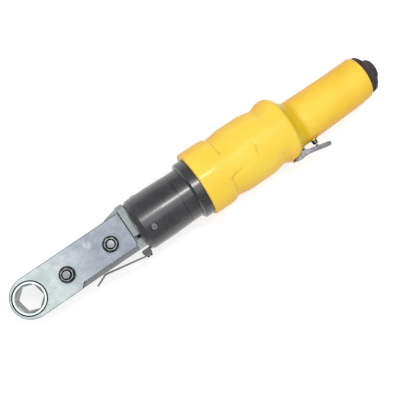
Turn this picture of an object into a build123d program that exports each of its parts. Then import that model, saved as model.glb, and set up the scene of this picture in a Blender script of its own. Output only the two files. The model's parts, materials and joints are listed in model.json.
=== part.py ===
from build123d import *
import math
import os

# Air ratchet wrench with a closed hexagon ratchet head, in millimetres.
# The origin is the centre of the hexagon socket, half way through the head.
# +X runs along the tool to the air inlet, +Z is the socket's axis, and the levers are on the -Y side.

# ---------------------------------------------------------------- driving dimensions
HEX_ACROSS_FLATS = 24.2
HEX_TURN = -19.0
RING_RADIUS = 16.5
RING_GAP = 0.8
RING_HALF_HEIGHT = 15.4
TEETH = 72
TOOTH_ROOT = 16.6
TOOTH_TIP = 17.5
TOOTH_PITCH = 360 / TEETH
TOOTH_RAMP = 0.84 * TOOTH_PITCH
TOOTH_PHASE = -3.0
TOOTH_HALF_HEIGHT = 5.3
NOSE_GAP = 0.12

CRANK_THROW = 6.2
DRIVE_LENGTH = 132.5
HALF_SWING = math.degrees(math.asin(CRANK_THROW / DRIVE_LENGTH))

PLATE_INNER = 11.0
PLATE_OUTER = 15.0
PLATE_REAR = 113.4
STEP_GAP = 0.9
NOSE_RADIUS = 20.9
NOSE_CENTRE = 1.9
ARM_TOP = 21.5
ARM_LOW = 20.7
LEDGE = 16.2
NOTCH = 49.5
FLARE_START = 96.0
TOOTH_POCKET = 17.9
EYE_POCKET = 18.9
EYE_CENTRE = 1.6
WALL_INNER = 18.6
CHANNEL_REAR = 104.0
HEAD_REAR = 121.5
SPIGOT_RADIUS = 20.0
SPIGOT_BORE = 15.8
SPIGOT_REAR = 141.5
SLIDE_GAP = 0.3

BOLT_PLACES = ((41.5, -1.0), (91.5, 0.0))
BOLT_RADIUS = 4.0
BOLT_HEAD = 5.3
NUT_ACROSS_FLATS = 13.0
NUT_HEIGHT = 6.5
WASHER_HEIGHTS = (3.4, 1.6)
WASHER_RADIUS = 8.1

PAWL_PIVOT = (19.0, 11.5)
PAWL_PIN_RADIUS = 1.8
PAWL_HALF_HEIGHT = 5.2
LEVER_PIVOT = (115.5, -18.5)
LEVER_PIN_RADIUS = 1.6
LEVER_HALF_HEIGHT = 10.7

HOUSING_RADIUS = 27.8
HOUSING_NECK = 27.0
HOUSING_REAR = 184.0
GEAR_BORE = 23.8
COLLAR_RADIUS = 31.3
COLLAR_REAR = 195.0
SCREW_X = 135.3
SCREW_ANGLES = (20, 140, 260)

GEAR_MODULE = 0.85
SUN_TEETH = 12
PLANET_TEETH = 18
RING_TEETH = 48
PLANET_ANGLES = (90, 210, 330)
PLANET_ORBIT = GEAR_MODULE * (SUN_TEETH + PLANET_TEETH) / 2
BACKLASH = 0.14
PRESSURE_ANGLE = math.radians(20)
GEAR_FRONT = 158.6
GEAR_REAR = 168.6

CASING_OUTER = 26.6
CASING_INNER = 24.6
CASING_REAR = 292.0
MOTOR_OUTER = 24.5
MOTOR_FRONT = 196.5
CYLINDER_FRONT = 202.0
CYLINDER_REAR = 262.6
CYLINDER_BORE = 20.2
CYLINDER_OFFSET = 2.2
ROTOR_RADIUS = 17.6
ROTOR_SHAFT = 5.0
VANES = 5
VANE_THICKNESS = 2.5
SLOT_WIDTH = 2.6
SLOT_FLOOR = 8.6
MOTOR_REAR = 275.0

COVER_FRONT = 195.2
COVER_OFFSET = 1.6
COVER_REAR = 313.0
SLEEVE_FRONT_RADIUS = 24.8
SLEEVE_FRONT_OFFSET = -2.4
SLEEVE_REAR_RADIUS = 23.2
SLEEVE_REAR = 400.0
CORE_RADIUS = 18.3
CORE_REAR = 401.0

THROTTLE_PIVOT = (305.0, -28.8)
THROTTLE_PIN_RADIUS = 1.6
THROTTLE_HALF_WIDTH = 7.0
PAD_RADIUS = 1.2
PAD_Y = -33.7
VALVE_X = 322.0
PLUNGER_RADIUS = 2.9
BALL_RADIUS = 4.6
SEAT_RADIUS = 3.5
SEAT_Y = 2.0

CAP_REAR = 408.0
HOOD_REAR = 411.6
INLET_REAR = 416.5
INLET_BORE = 7.48
THREAD_FRONT = 403.0
SCREEN_RADIUS = 6.9
SCREEN_FRONT = 402.0
INLET_ACROSS_FLATS = 21.0

RUNNING = 0.05
STANDING = (Align.CENTER, Align.CENTER, Align.MIN)
MOUTH_CHAMFER = 0.8


# ---------------------------------------------------------------- shape helpers
def polar(radius, degrees):
    return (radius * math.cos(math.radians(degrees)), radius * math.sin(math.radians(degrees)))


def rod(radius, start, end, y=0.0, z=0.0):
    """A round bar along X."""
    return Pos((start + end) / 2, y, z) * Rot(0, 90, 0) * Cylinder(radius, end - start)


def tube(outer, inner, start, end):
    return rod(outer, start, end) - rod(inner, start - 1, end + 1)


def post(radius, bottom, top, x, y):
    """A round bar along Z."""
    return Pos(x, y, (bottom + top) / 2) * Cylinder(radius, top - bottom)


def cross_bar(radius, start, end, x):
    """A round bar along Y."""
    return Pos(x, (start + end) / 2, 0) * Rot(90, 0, 0) * Cylinder(radius, end - start)


def block(x, y, z):
    """A box between three pairs of limits."""
    size = Box(x[1] - x[0], y[1] - y[0], z[1] - z[0])
    return Pos((x[0] + x[1]) / 2, (y[0] + y[1]) / 2, (z[0] + z[1]) / 2) * size


def slab(outline, bottom, top):
    """A flat outline in XY, thick along Z."""
    return extrude(Pos(0, 0, bottom) * make_face(outline), amount=top - bottom)


def polygon(*points):
    return Polyline(*points, close=True)


def turned(*points):
    """An outline of (x, radius) points turned about the tool's axis."""
    return revolve(make_face(Polyline(*points, close=True)), axis=Axis.X)


def hexagon_rod(across_flats, start, end):
    shape = RegularPolygon(across_flats / 2, 6, major_radius=False)
    return extrude(Plane.YZ.offset(start) * shape, amount=end - start)


def hexagon_post(across_flats, bottom, top, x, y, turn=0.0):
    shape = RegularPolygon(across_flats / 2, 6, major_radius=False, rotation=turn)
    return extrude(Pos(x, y, bottom) * shape, amount=top - bottom)


def around_axis(shape, degrees):
    return Rot(degrees, 0, 0) * shape


def coil(wire, radius, pitch, height):
    """A helical spring of round wire, along local Z."""
    path = Helix(pitch, height, radius)
    section = Plane(origin=path @ 0, z_dir=path % 0) * Circle(wire)
    return sweep(section, path=path)


def save(shape, name):
    export_step(shape, f"parts/{name}.step")


# ---------------------------------------------------------------- head
def nose_arc():
    return ThreePointArc(
        (NOSE_CENTRE, NOSE_RADIUS), (NOSE_CENTRE - NOSE_RADIUS, 0), (NOSE_CENTRE, -NOSE_RADIUS),
    )


def arm_outline(rear):
    """Round-ended arm that flares into the gear housing on its +Y side."""
    flare = ThreePointArc((FLARE_START, ARM_TOP), (108, 24.9), (rear, 27.6))
    lower = Polyline(
        (NOSE_CENTRE, -NOSE_RADIUS), (NOTCH, -ARM_LOW), (rear, -ARM_LOW), (rear, 27.6),
    )
    upper = Line((FLARE_START, ARM_TOP), (NOSE_CENTRE, NOSE_RADIUS))
    return nose_arc() + lower + flare + upper


def plate_outline():
    edge = Polyline(
        (NOSE_CENTRE, -NOSE_RADIUS), (NOTCH - 3, -ARM_LOW), (NOTCH + 1, -LEDGE), (111, -LEDGE),
        (PLATE_REAR, -13), (PLATE_REAR, ARM_TOP), (FLARE_START, ARM_TOP), (NOSE_CENTRE, NOSE_RADIUS),
    )
    return nose_arc() + edge


def head_body():
    arm = slab(arm_outline(HEAD_REAR), -PLATE_INNER, PLATE_INNER)
    step = block((PLATE_REAR + STEP_GAP, HEAD_REAR), (-7, 30), (-PLATE_OUTER, PLATE_OUTER))
    body = (arm + step) & rod(HOUSING_RADIUS, -30, HEAD_REAR)
    body += tube(SPIGOT_RADIUS, SPIGOT_BORE, HEAD_REAR - 1, SPIGOT_REAR)
    body -= post(TOOTH_POCKET, -12, 12, 0, 0)
    body -= post(EYE_POCKET, -12, 12, EYE_CENTRE, 0)
    body -= block((EYE_CENTRE, 22.5), (-EYE_POCKET, EYE_POCKET), (-12, 12))
    body -= block((22.4, CHANNEL_REAR), (-30, WALL_INNER), (-12, 12))
    body -= block((103, 112.4), (-30, -15.9), (-12, 12))
    body -= block((112, 120.2), (-30, -15.9), (-8.1, 8.1))
    body -= block((-0.5, 23), (-30, -16.2), (-5.6, 5.6))
    body -= block((103, HEAD_REAR + 1), (-13.3, 13.3), (-8.4, 8.4))
    body -= rod(SPIGOT_BORE, HEAD_REAR, SPIGOT_REAR + 1)
    body -= block((PLATE_REAR + STEP_GAP, HEAD_REAR), (-11.4, -7), (8, 16))
    body -= post(LEVER_PIN_RADIUS, -12, 12, *LEVER_PIVOT)
    for angle in SCREW_ANGLES:
        body -= around_axis(post(2.5, 10, 30, SCREW_X, 0), angle)
    return body


def cover_plate(side):
    """One 4 mm plate; side is +1 for the top and -1 for the bottom."""
    low, high = sorted((side * PLATE_INNER, side * PLATE_OUTER))
    plate = slab(plate_outline(), low, high)
    outer = plate.faces().sort_by(Axis.Z)[-1 if side > 0 else 0]
    plate = chamfer(outer.edges(), 0.5)
    plate -= post(RING_RADIUS + RING_GAP, low - 1, high + 1, 0, 0)
    for x, y in BOLT_PLACES:
        plate -= post(BOLT_RADIUS, low - 1, high + 1, x, y)
    return plate


def clamp_bolts():
    bolts = []
    for (x, y), washer in zip(BOLT_PLACES, WASHER_HEIGHTS):
        top = PLATE_OUTER + washer + NUT_HEIGHT + 1.6
        shank = post(BOLT_RADIUS, -PLATE_OUTER, top, x, y)
        shank = chamfer(shank.edges().sort_by(Axis.Z)[-1], 0.7)
        head = hexagon_post(NUT_ACROSS_FLATS, -PLATE_OUTER - BOLT_HEAD, -PLATE_OUTER, x, y, 14)
        bolts.append(head + shank)
    return Compound(children=bolts)


def clamp_nuts():
    nuts = []
    for (x, y), washer, turn in zip(BOLT_PLACES, WASHER_HEIGHTS, (14, 38)):
        foot = PLATE_OUTER + washer
        nut = hexagon_post(NUT_ACROSS_FLATS, foot, foot + NUT_HEIGHT, x, y, turn)
        top_radius = NUT_ACROSS_FLATS / 2 - 0.1
        dome = Cone(top_radius + 1.8 * NUT_HEIGHT, top_radius, NUT_HEIGHT, align=STANDING)
        nuts.append((nut & Pos(x, y, foot) * dome) - post(BOLT_RADIUS, foot - 1, foot + 10, x, y))
    return Compound(children=nuts)


def clamp_washers():
    washers = []
    for (x, y), height in zip(BOLT_PLACES, WASHER_HEIGHTS):
        ring = post(WASHER_RADIUS, PLATE_OUTER, PLATE_OUTER + height, x, y)
        ring = chamfer(ring.edges().sort_by(Axis.Z)[-1], 0.5)
        washers.append(ring - post(BOLT_RADIUS, PLATE_OUTER - 1, PLATE_OUTER + 6, x, y))
    return Compound(children=washers)


def ratchet_ring():
    """Through-hexagon ring with saw teeth round its middle."""
    points = []
    for tooth in range(TEETH):
        start = TOOTH_PHASE + tooth * TOOTH_PITCH
        points.append(polar(TOOTH_ROOT, start))
        points.append(polar(TOOTH_TIP, start + TOOTH_RAMP))
    ring = slab(polygon(*points), -TOOTH_HALF_HEIGHT, TOOTH_HALF_HEIGHT)
    boss = post(RING_RADIUS, -RING_HALF_HEIGHT, RING_HALF_HEIGHT, 0, 0)
    ring += chamfer(boss.edges().filter_by(GeomType.CIRCLE), 0.6)
    ring -= hexagon_post(HEX_ACROSS_FLATS, -20, 20, 0, 0, HEX_TURN)
    mouth = Pos(0, 0, RING_HALF_HEIGHT - 0.9) * Cone(HEX_ACROSS_FLATS / 2, 14.3, 0.9, align=STANDING)
    ring -= mouth
    ring -= Rot(180, 0, 0) * mouth
    return ring


def rocker():
    """Yoke that swings about the socket, with windows for the clamp bolts and a fork at its rear."""
    bar = polygon(
        (0, 18.4), (19, 17), (26, 15.4), (36, 10.2), (80, 11), (98, 11), (105, 6.9), (127.2, 6.9),
        (127.2, -6.9), (105, -6.9), (98, -11), (80, -11), (36, -10.2), (20, -11.5), (0, -18.4),
    )
    yoke = slab(bar, -8, 8)
    front = polygon((0, 18.4), (19, 17), (26, 15.4), (26, -11), (20, -11.5), (0, -18.4))
    yoke += slab(front, -LEVER_HALF_HEIGHT, LEVER_HALF_HEIGHT)
    eye = post(EYE_POCKET - 0.4, -LEVER_HALF_HEIGHT, LEVER_HALF_HEIGHT, EYE_CENTRE, 0)
    yoke += eye - block((-30, -8), (-30, 30), (-12, 12))
    yoke -= block((86.8, 96.2), (-8.8, 8.8), (-12, 12))
    yoke -= block((36.8, 46.2), (-7.6, 6.6), (-12, 12))
    yoke -= block((117, 130), (-4.95, 4.95), (-12, 12))
    yoke = Rot(0, 0, -HALF_SWING) * yoke
    yoke -= post(RING_RADIUS + RUNNING, -12, 12, 0, 0)
    yoke -= post(TOOTH_POCKET, -5.5, 5.5, 0, 0)
    yoke -= block((12, 25), (-4.5, 22), (-5.5, 5.5))
    yoke -= block((-1, 16), (-22, 22), (-5.5, 5.5))
    yoke -= post(PAWL_PIN_RADIUS, -12, 12, *PAWL_PIVOT)
    yoke -= rod(2.0, 24, 30, 3.0)
    return yoke


def nose_points(corner):
    """The tooth-shaped tip of a pawl, where the tooth root is at this angle."""
    slope = (TOOTH_PITCH - TOOTH_RAMP) / (TOOTH_TIP - TOOTH_ROOT)
    start = corner + 0.35
    bottom = TOOTH_ROOT + NOSE_GAP
    rise = (TOOTH_TIP - TOOTH_ROOT) / TOOTH_RAMP
    return (
        polar(bottom + 1.8, start - 1.8 * slope),
        polar(bottom, start),
        polar(bottom + 1.5 * rise, start + 1.5),
        polar(TOOTH_TIP + 0.4, corner + 3.8),
    )


def drive_pawl():
    body = slab(polygon(
        *nose_points(TOOTH_PHASE), (17.6, 5.0), (16.5, 9.6), (22.2, 12.2), (22.4, 4.0), (21.6, -0.8),
    ), -PAWL_HALF_HEIGHT, PAWL_HALF_HEIGHT)
    body += post(3.3, -PAWL_HALF_HEIGHT, PAWL_HALF_HEIGHT, *PAWL_PIVOT)
    return body - post(PAWL_PIN_RADIUS + RUNNING, -10, 10, *PAWL_PIVOT)


def holding_lever():
    """Long side lever whose nose keeps the ring from turning back."""
    nose = slab(polygon(
        (3.3, -20.4), *nose_points(TOOTH_PHASE - 15 * TOOTH_PITCH), (9, -17.2), (26, -16.5), (26, -20.6),
    ), -5.2, 5.2)
    bar = block((24.2, 112), (-20.6, -16.5), (-LEVER_HALF_HEIGHT, LEVER_HALF_HEIGHT))
    bar = chamfer(bar.edges().filter_by(Axis.X).sort_by(Axis.Y)[:2], 0.5)
    tail = block((111, 115.5), (-20.5, -16.5), (-7.8, 7.8)) + post(2.0, -7.8, 7.8, *LEVER_PIVOT)
    return nose + bar + tail - post(LEVER_PIN_RADIUS + 0.04, -12, 12, *LEVER_PIVOT)


def leaf_spring():
    """Flat spring from the housing's front that presses the holding lever in."""
    outer = Polyline((120.9, -29.9), (112.4, -29.9), (74, -23.1), (70.9, -22.8), (59.0, -27.8))
    inner = Polyline((58.2, -26.3), (70.2, -21.0), (74, -21.3), (113, -28.4), (120.9, -28.4))
    strip = outer + Line(outer @ 1, inner @ 0) + inner + Line(inner @ 1, outer @ 0)
    return slab(strip, -4.5, 4.5) - cross_bar(1.5, -32, -24, 117.5)


def leaf_spring_bracket():
    """Small steel block on the housing's front face that carries the leaf spring."""
    foot = block((112.6, HEAD_REAR), (-28.35, -23.0), (-6, 6))
    foot = chamfer(foot.edges().filter_by(Axis.Z).sort_by(Axis.X)[:2], 1.2)
    return foot - cross_bar(1.9, -32, -24.4, 117.5)


def leaf_spring_screw():
    head = cross_bar(2.9, -31.6, -29.9, 117.5)
    head -= block((114, 121), (-32, -30.7), (-0.4, 0.4))
    return head + cross_bar(1.5, -29.9, -25, 117.5)


# ---------------------------------------------------------------- gear housing
def gear_housing():
    shell = turned(
        (HEAD_REAR, SPIGOT_RADIUS), (HEAD_REAR, 25.4), (126.6, HOUSING_RADIUS), (152, HOUSING_RADIUS),
        (170.8, 27.2), (170.8, 25.6), (172.2, 25.6), (172.2, HOUSING_NECK), (HOUSING_REAR, HOUSING_NECK),
        (HOUSING_REAR, CASING_INNER), (189.6, CASING_INNER), (189.6, GEAR_BORE - 1.4), (176.6, GEAR_BORE - 1.4),
        (176.6, GEAR_BORE), (153, GEAR_BORE), (153, 19), (143, 19), (143, 16.8),
        (SPIGOT_REAR + 0.3, 16.8), (SPIGOT_REAR + 0.3, SPIGOT_RADIUS),
    )
    for angle in SCREW_ANGLES:
        shell -= around_axis(post(2.5, 10, 40, SCREW_X, 0), angle)
        shell -= around_axis(post(3.8, 26.8, 40, SCREW_X, 0), angle)
    return shell


def head_set_screws():
    screws = []
    for angle in SCREW_ANGLES:
        head = post(3.5, 26.8, 28.5, SCREW_X, 0)
        head = chamfer(head.edges().sort_by(Axis.Z)[-1], 0.6)
        screw = head + post(2.5, SPIGOT_BORE + 0.2, 26.8, SCREW_X, 0)
        screw -= hexagon_post(3.0, 26.4, 30, SCREW_X, 0)
        screws.append(around_axis(screw, angle))
    return Compound(children=screws)


def coupling_collar():
    return turned(
        (HOUSING_REAR + 0.1, HOUSING_NECK + 1.6), (HOUSING_REAR + 1.6, COLLAR_RADIUS - 0.5),
        (HOUSING_REAR + 2.4, COLLAR_RADIUS), (COLLAR_REAR, COLLAR_RADIUS), (COLLAR_REAR, CASING_OUTER),
        (HOUSING_REAR + 0.1, CASING_OUTER),
    )


def bearing(bore, outer, front, rear, balls):
    """Outer race, inner race and balls of a ball bearing."""
    third = (outer - bore) / 3.4
    gap_inner, gap_outer = bore + third, outer - third
    outer_race = tube(outer, gap_outer, front, rear)
    inner_race = tube(gap_inner, bore, front, rear)
    ball_radius = (gap_outer - gap_inner) / 2 - 0.03
    middle = ((front + rear) / 2, 0, (gap_inner + gap_outer) / 2)
    ring = [around_axis(Pos(*middle) * Sphere(ball_radius), 360 * n / balls) for n in range(balls)]
    return outer_race, inner_race, Compound(children=ring)


def crankshaft():
    """Planet carrier, journal and eccentric pin in one piece."""
    shaft = turned(
        (154, 0), (154, 17), (158, 17), (158, 0),
    )
    shaft += rod(9, 143, 154) + rod(8.4, 139, 143) + rod(11.4, 136.4, 139.2)
    shaft += rod(3.2, 128.4, 137, -CRANK_THROW)
    for angle in PLANET_ANGLES:
        y, z = polar(PLANET_ORBIT, angle)
        shaft -= rod(2.5, 153, 159, y, z)
    return shaft


def drive_bushing():
    """Barrel that rolls on the eccentric pin, just behind the rocker's fork."""
    barrel = rod(4.9, 127.6, 136.2, -CRANK_THROW)
    barrel = fillet(barrel.edges(), 1.2)
    return barrel - rod(3.2, 128.4, 137, -CRANK_THROW)


def planet_pins():
    pins = []
    for angle in PLANET_ANGLES:
        y, z = polar(PLANET_ORBIT, angle)
        pins.append(rod(2.5, 154.2, 171.2, y, z))
    return Compound(children=pins)


def carrier_plate():
    plate = tube(16.6, 7, 169, 171)
    for angle in PLANET_ANGLES:
        y, z = polar(PLANET_ORBIT, angle)
        plate -= rod(2.5, 168, 172, y, z)
    return plate


# ---------------------------------------------------------------- gears
def involute(radius, base):
    ratio = max(radius / base, 1.0)
    return math.sqrt(ratio ** 2 - 1) - math.acos(1 / ratio)


def gear_outline(teeth, tip, root, slack, first_tooth):
    """Involute teeth: negative slack widens them, which cuts the spaces of an internal gear."""
    pitch = teeth * GEAR_MODULE / 2
    base = pitch * math.cos(PRESSURE_ANGLE)
    start = max(base, root)
    radii = [start, (start + tip) / 2, tip]
    half_at_pitch = math.pi / (2 * teeth) - slack / (2 * pitch)
    halves = [half_at_pitch + involute(pitch, base) - involute(radius, base) for radius in radii]
    if root < start:
        radii = [root] + radii
        halves = [halves[0]] + halves
    points = []
    for tooth in range(teeth):
        middle = first_tooth + 360 * tooth / teeth
        rising = [polar(radius, middle - math.degrees(half)) for radius, half in zip(radii, halves)]
        falling = [polar(radius, middle + math.degrees(half)) for radius, half in zip(radii, halves)]
        points += rising + falling[::-1]
    return make_face(polygon(*points))


def gear(outline, start, end, y=0.0, z=0.0):
    return Pos(0, y, z) * extrude(Plane.YZ.offset(start) * outline, amount=end - start)


def planet_gear(angle):
    pitch = PLANET_TEETH * GEAR_MODULE / 2
    outline = gear_outline(PLANET_TEETH, pitch + GEAR_MODULE, pitch - 1.25 * GEAR_MODULE, BACKLASH / 2, angle)
    y, z = polar(PLANET_ORBIT, angle)
    return gear(outline, GEAR_FRONT, GEAR_REAR, y, z) - rod(2.5 + RUNNING, 150, 180, y, z)


def ring_gear():
    pitch = RING_TEETH * GEAR_MODULE / 2
    spaces = gear_outline(RING_TEETH, pitch + 1.3 * GEAR_MODULE, pitch - 0.95 * GEAR_MODULE, -BACKLASH, 0)
    return rod(GEAR_BORE, 158.2, 171.4) - gear(spaces, 150, 180)


def rotor_shaft():
    """Motor shaft with the sun pinion cut in its front end."""
    pitch = SUN_TEETH * GEAR_MODULE / 2
    teeth = gear_outline(SUN_TEETH, pitch + GEAR_MODULE, pitch - 1.2 * GEAR_MODULE, BACKLASH / 2, 15)
    shaft = gear(teeth, 158.4, 169.4) + rod(4.0, 169.4, 189) + rod(ROTOR_SHAFT, 189, 277)
    return shaft


# ---------------------------------------------------------------- motor
def rotor():
    core = tube(ROTOR_RADIUS, ROTOR_SHAFT, CYLINDER_FRONT + 0.3, CYLINDER_REAR - 0.3)
    for vane in range(VANES):
        slot = block((190, 280), (-SLOT_WIDTH / 2, SLOT_WIDTH / 2), (SLOT_FLOOR, 30))
        core -= around_axis(slot, 360 * vane / VANES)
    return core


def rotor_vanes():
    half = VANE_THICKNESS / 2
    vane = block((CYLINDER_FRONT + 0.4, CYLINDER_REAR - 0.4), (-half, half), (SLOT_FLOOR + 0.1, ROTOR_RADIUS - 0.2))
    return Compound(children=[around_axis(vane, 360 * n / VANES) for n in range(VANES)])


def motor_cylinder():
    """Cylinder liner with its bore set off the rotor's axis."""
    liner = rod(MOTOR_OUTER, CYLINDER_FRONT, CYLINDER_REAR)
    liner -= rod(CYLINDER_BORE, CYLINDER_FRONT - 1, CYLINDER_REAR + 1, 0, CYLINDER_OFFSET)
    for x in (216, 226, 236, 246):
        liner -= cross_bar(2.2, 10, 30, x)
    return liner


def end_plate(inner, outer, boss_inner, boss_outer, bearing_radius, shaft_hole):
    """Motor end plate whose boss holds a rotor bearing."""
    plate = tube(MOTOR_OUTER, shaft_hole, inner, outer)
    return plate + tube(bearing_radius + 2.2, bearing_radius, boss_inner, boss_outer)


def motor_casing():
    """Steel sleeve round the whole motor."""
    shell = tube(CASING_OUTER, CASING_INNER, HOUSING_REAR, CASING_REAR)
    for angle in (60, 120, 180):
        shell -= around_axis(block((222, 242), (-2, 2), (20, 30)), angle)
    return shell


# ---------------------------------------------------------------- body and handle
def motor_cover():
    """Moulded cover over the motor, set a little towards +Y."""
    outer = turned(
        (COVER_FRONT, 0), (COVER_FRONT, 34.7), (196.2, 35.6), (213, 35.4), (220, 34.5), (226, 33.3),
        (238, 34.2), (250, 34.7), (264, 34.6), (270, 34.3), (276, 33.3), (282, 32.5), (288, 34.0),
        (295, 35.4), (301, 34.2), (307, 30.2), (311, 26.6), (COVER_REAR, 25.4), (COVER_REAR, 0),
    )
    cover = Pos(0, COVER_OFFSET, 0) * outer
    cover -= rod(CASING_OUTER, 190, CASING_REAR + 0.2)
    cover -= turned((CASING_REAR, 0), (CASING_REAR, CASING_OUTER), (299, CORE_RADIUS), (320, CORE_RADIUS), (320, 0))
    cover -= block((290.6, 302), (-50, -31.3), (-8.2, 8.2))
    return cover - block((299.5, 320), (-50, -17), (-7.6, 7.6))


def handle_sleeve():
    """Tapered grip over the handle core."""
    front = Plane.YZ.offset(COVER_REAR) * Pos(SLEEVE_FRONT_OFFSET, 0) * Circle(SLEEVE_FRONT_RADIUS)
    rear = Plane.YZ.offset(SLEEVE_REAR) * Circle(SLEEVE_REAR_RADIUS)
    sleeve = loft([front, rear])
    sleeve = fillet(sleeve.edges().sort_by(Axis.X)[-1], 1.2)
    sleeve -= rod(CORE_RADIUS, 300, 410)
    sleeve -= block((312, 314), (-50, -17), (-7.6, 7.6))
    return sleeve - cross_bar(5.6, -40, -10, VALVE_X)


def handle_core():
    """Aluminium valve body from the motor's rear to the air inlet."""
    core = turned(
        (280, 0), (280, CASING_INNER), (CASING_REAR, CASING_INNER), (299, CORE_RADIUS - 0.2),
        (300, CORE_RADIUS), (CORE_REAR, CORE_RADIUS), (CORE_REAR, 0),
    )
    core += block((300.5, 309.4), (-32.2, -15), (-4.6, 4.6))
    core -= post(THROTTLE_PIN_RADIUS, -10, 10, *THROTTLE_PIVOT)
    core -= rod(3.8, 279, VALVE_X, -2.5)
    core -= rod(5.0, VALVE_X, 392, 7)
    core -= rod(9.6, 390, CORE_REAR + 1)
    core -= cross_bar(7.0, 13.6, 20, VALVE_X)
    core -= cross_bar(6.3, 0, 13.8, VALVE_X)
    core -= cross_bar(4.6, -5, 0.1, VALVE_X)
    core -= cross_bar(PLUNGER_RADIUS + 0.3, -20, -4, VALVE_X)
    core -= cross_bar(5.0, -20, -9, VALVE_X)
    for angle in (60, 120, 240, 300):
        core -= around_axis(block((300.5, 405), (-2, 2), (14.6, 20)), angle)
    return core


def end_cap():
    """Dark rubber ring behind the grip, with an exhaust hood on its -Y side."""
    cap = turned(
        (SLEEVE_REAR, CORE_RADIUS), (SLEEVE_REAR, 21.2), (405, 20.6), (CAP_REAR - 1.2, 18.8), (CAP_REAR, 17.2),
        (CAP_REAR, 12.6), (404.6, 12.6), (404.6, 17.6), (CORE_REAR, 17.6), (CORE_REAR, CORE_RADIUS),
    )
    hood = turned(
        (404.6, 12.6), (404.6, 21.2), (HOOD_REAR - 3.4, 20.4), (HOOD_REAR - 0.8, 17.6), (HOOD_REAR, 15.8),
        (HOOD_REAR, 12.6),
    )
    cap += hood & block((400, HOOD_REAR + 1), (-22, -6), (-15, 15))
    for angle in range(0, 360, 45):
        cap -= around_axis(block((404, HOOD_REAR + 1), (-1.2, 1.2), (13.6, 16.6)), angle + 22.5)
    return cap


def exhaust_muffler():
    return tube(17.4, 9.8, CORE_REAR, 404.4)


def inlet_bushing():
    """Hexagon-ended bushing with the female air thread."""
    hexagon = hexagon_rod(INLET_ACROSS_FLATS, CAP_REAR, INLET_REAR)
    dome = turned((400, 0), (400, 20), (INLET_REAR - 1.6, 12.6), (INLET_REAR, 10.6), (INLET_REAR, 0))
    body = (hexagon & dome) + rod(9.6, 390, CAP_REAR)
    body -= rod(INLET_BORE, THREAD_FRONT, INLET_REAR + 1)
    body -= rod(SCREEN_RADIUS, SCREEN_FRONT, THREAD_FRONT + 1)
    body -= rod(5.4, 389, 403)
    mouth = turned(
        (INLET_REAR - MOUTH_CHAMFER, 0), (INLET_REAR - MOUTH_CHAMFER, INLET_BORE),
        (INLET_REAR, INLET_BORE + MOUTH_CHAMFER), (INLET_REAR, 0),
    )
    return body - mouth


def inlet_screen():
    disc = rod(SCREEN_RADIUS, SCREEN_FRONT, SCREEN_FRONT + 0.8)
    for ring, count in ((0, 1), (2.6, 6), (5.2, 12)):
        for n in range(count):
            y, z = polar(ring, 360 * n / count)
            disc -= rod(0.8, 401, 404, y, z)
    return disc


# ---------------------------------------------------------------- throttle
def throttle_lever():
    """Folded steel lever: an outer web with a side flange on each side and a rounded pad under the plunger."""
    profile = polygon(
        (292.2, -35.6), (299, -37.0), (304, -36.4), (309, -36.2), (331.8, -41.3), (333.5, -41.0), (334.4, -39.6),
        (334.2, -37.6), (333.0, -36.6), (309.4, -31.4), (307.9, -30.4), (307.6, -27.2), (306.4, -25.9),
        (303.6, -25.9), (302.4, -27.2), (302.0, -31.6), (292.2, -33.4),
    )
    lever = slab(profile, -THROTTLE_HALF_WIDTH, THROTTLE_HALF_WIDTH)
    inside = polygon(
        (280, -31.4), (292.2, -33.8), (299, -35.2), (304, -34.6), (309, -34.4), (340, -41.2), (340, -20), (280, -20),
    )
    lever -= slab(inside, -4.9, 4.9)
    lever += block((VALVE_X - 1, VALVE_X + 1), (-38.2, PAD_Y), (-2.4, 2.4))
    lever += post(PAD_RADIUS, -2.4, 2.4, VALVE_X, PAD_Y)
    return lever - post(THROTTLE_PIN_RADIUS + RUNNING, -10, 10, *THROTTLE_PIVOT)


def lever_pin():
    pin = post(THROTTLE_PIN_RADIUS, -THROTTLE_HALF_WIDTH - 0.5, THROTTLE_HALF_WIDTH + 0.5, *THROTTLE_PIVOT)
    return chamfer(pin.edges().filter_by(GeomType.CIRCLE), 0.3)


def valve_plunger():
    button = cross_bar(PLUNGER_RADIUS, -32.0, -7, VALVE_X)
    button = fillet(button.edges().sort_by(Axis.Y)[0], 1.6)
    ball_foot = SEAT_Y + math.sqrt(BALL_RADIUS ** 2 - SEAT_RADIUS ** 2) - BALL_RADIUS
    return button + cross_bar(1.5, -7, ball_foot, VALVE_X)


def valve_ball():
    height = SEAT_Y + math.sqrt(BALL_RADIUS ** 2 - SEAT_RADIUS ** 2) + 0.01
    return Pos(VALVE_X, height, 0) * Sphere(BALL_RADIUS)


def valve_seat():
    return cross_bar(6.3, 0.1, SEAT_Y, VALVE_X) - cross_bar(SEAT_RADIUS, -1, 4, VALVE_X)


def valve_bushing():
    sleeve = cross_bar(5.0, -27.4, -9.2, VALVE_X) - cross_bar(PLUNGER_RADIUS + RUNNING, -30, 0, VALVE_X)
    return sleeve - cross_bar(4.2, -13.2, -9, VALVE_X)


def valve_o_ring():
    section = Pos(VALVE_X + 3.55, -11.2) * Circle(0.6)
    return revolve(section, axis=Axis((VALVE_X, 0, 0), (0, 1, 0)))


def valve_spring():
    return Pos(VALVE_X, 9.5, 0) * Rot(-90, 0, 0) * coil(0.35, 2.4, 1.3, 3.7)


def valve_plug():
    return cross_bar(7.0, 13.6, 16.6, VALVE_X) - hexagon_socket()


def hexagon_socket():
    shape = RegularPolygon(2.5, 6, major_radius=False)
    return extrude(Plane.XZ.offset(-19) * Pos(VALVE_X, 0) * shape, amount=4.5)


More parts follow.
